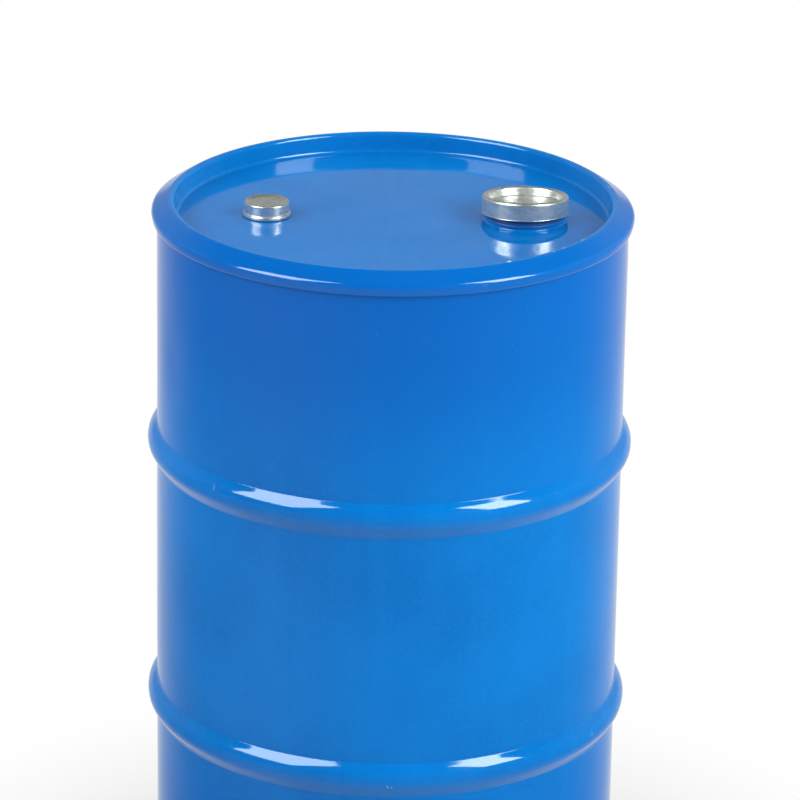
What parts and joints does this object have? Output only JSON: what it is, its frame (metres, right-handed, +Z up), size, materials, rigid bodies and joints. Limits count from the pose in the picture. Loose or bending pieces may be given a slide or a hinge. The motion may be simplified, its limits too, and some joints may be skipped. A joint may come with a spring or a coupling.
{
  "type": "steel oil drum",
  "caption": "Closed-top steel drum with rolling hoops, rolled chimes, and two screwed closures in the head under crimped metal cap seals.",
  "frame": {"origin": "on the drum's axis, in the plane the bottom chime rests on", "axes": "+Z up along the drum's axis; +X from the axis towards the larger bung; the shell's side weld faces +Y"},
  "size_m": [0.3979, 0.3982, 0.6437],
  "materials": {
    "drum_paint": "high-gloss blue enamel",
    "seam_compound": "cured sealing compound",
    "flange_steel": "zinc-plated, dull",
    "plug_steel": "zinc-plated",
    "gasket_rubber": "matt",
    "seal_tinplate": "bright tinplate"
  },
  "bodies": {
    "drum": {"body_shell": "drum_paint", "top_head": "drum_paint", "bottom_head": "drum_paint", "top_seam_compound": "seam_compound", "bottom_seam_compound": "seam_compound", "bung_flange": "flange_steel", "bung_flange_gasket": "gasket_rubber", "vent_flange": "flange_steel", "vent_flange_gasket": "gasket_rubber"},
    "bung_gasket": {"bung_plug_gasket": "gasket_rubber"},
    "bung_plug": {"bung_plug": "plug_steel"},
    "bung_seal": {"bung_cap_seal": "seal_tinplate"},
    "vent_gasket": {"vent_plug_gasket": "gasket_rubber"},
    "vent_plug": {"vent_plug": "plug_steel"},
    "vent_seal": {"vent_cap_seal": "seal_tinplate"}
  },
  "joints": [
    {"name": "bung_rise", "type": "slide", "parent": "drum", "child": "bung_gasket", "axis": [0, 0, 1], "range_m": [0, 0.0116]},
    {"name": "bung_unscrew", "type": "hinge", "parent": "bung_gasket", "child": "bung_plug", "pos_m": [0.107, 0, 0.6201], "axis": [0, 0, 1], "range_deg": [0, 1800]},
    {"name": "bung_seal_lift", "type": "slide", "parent": "drum", "child": "bung_seal", "axis": [0, 0, 1], "range_m": [0, 0.0601]},
    {"name": "vent_rise", "type": "slide", "parent": "drum", "child": "vent_gasket", "axis": [0, 0, 1], "range_m": [0, 0.0091]},
    {"name": "vent_unscrew", "type": "hinge", "parent": "vent_gasket", "child": "vent_plug", "pos_m": [-0.1025, 0, 0.6201], "axis": [0, 0, 1], "range_deg": [0, 1800]},
    {"name": "vent_seal_lift", "type": "slide", "parent": "drum", "child": "vent_seal", "axis": [0, 0, 1], "range_m": [0, 0.0601]}
  ],
  "couplings": [
    {"joint": "bung_rise", "follows": "bung_unscrew", "m_per_rad": 0.00036749},
    {"joint": "bung_seal_lift", "follows": "bung_unscrew", "m_per_rad": 0.0019099},
    {"joint": "vent_rise", "follows": "vent_unscrew", "m_per_rad": 0.00028871},
    {"joint": "vent_seal_lift", "follows": "vent_unscrew", "m_per_rad": 0.0019099}
  ]
}
